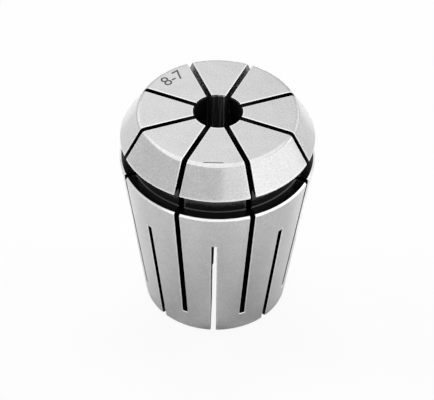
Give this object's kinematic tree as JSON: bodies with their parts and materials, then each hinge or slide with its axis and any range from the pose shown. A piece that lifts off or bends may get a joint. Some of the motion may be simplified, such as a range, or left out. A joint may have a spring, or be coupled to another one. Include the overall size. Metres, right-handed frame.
{
  "type": "er collet",
  "caption": "Spring collet with a tapered slotted body, a short cone head above a pull-out groove, and a straight bore that grips a round tool shank.",
  "frame": {"origin": "on the collet's axis, at the rear face", "axes": "+Z along the axis from the rear face towards the front face, where the nut goes; +X through the middle of a rear slot"},
  "size_m": [0.033, 0.033, 0.04],
  "materials": {
    "ground_steel": "fine ground outside, blackened inside the slots, groove and bore"
  },
  "bodies": {
    "root": {"collet": "ground_steel"}
  },
  "joints": []
}
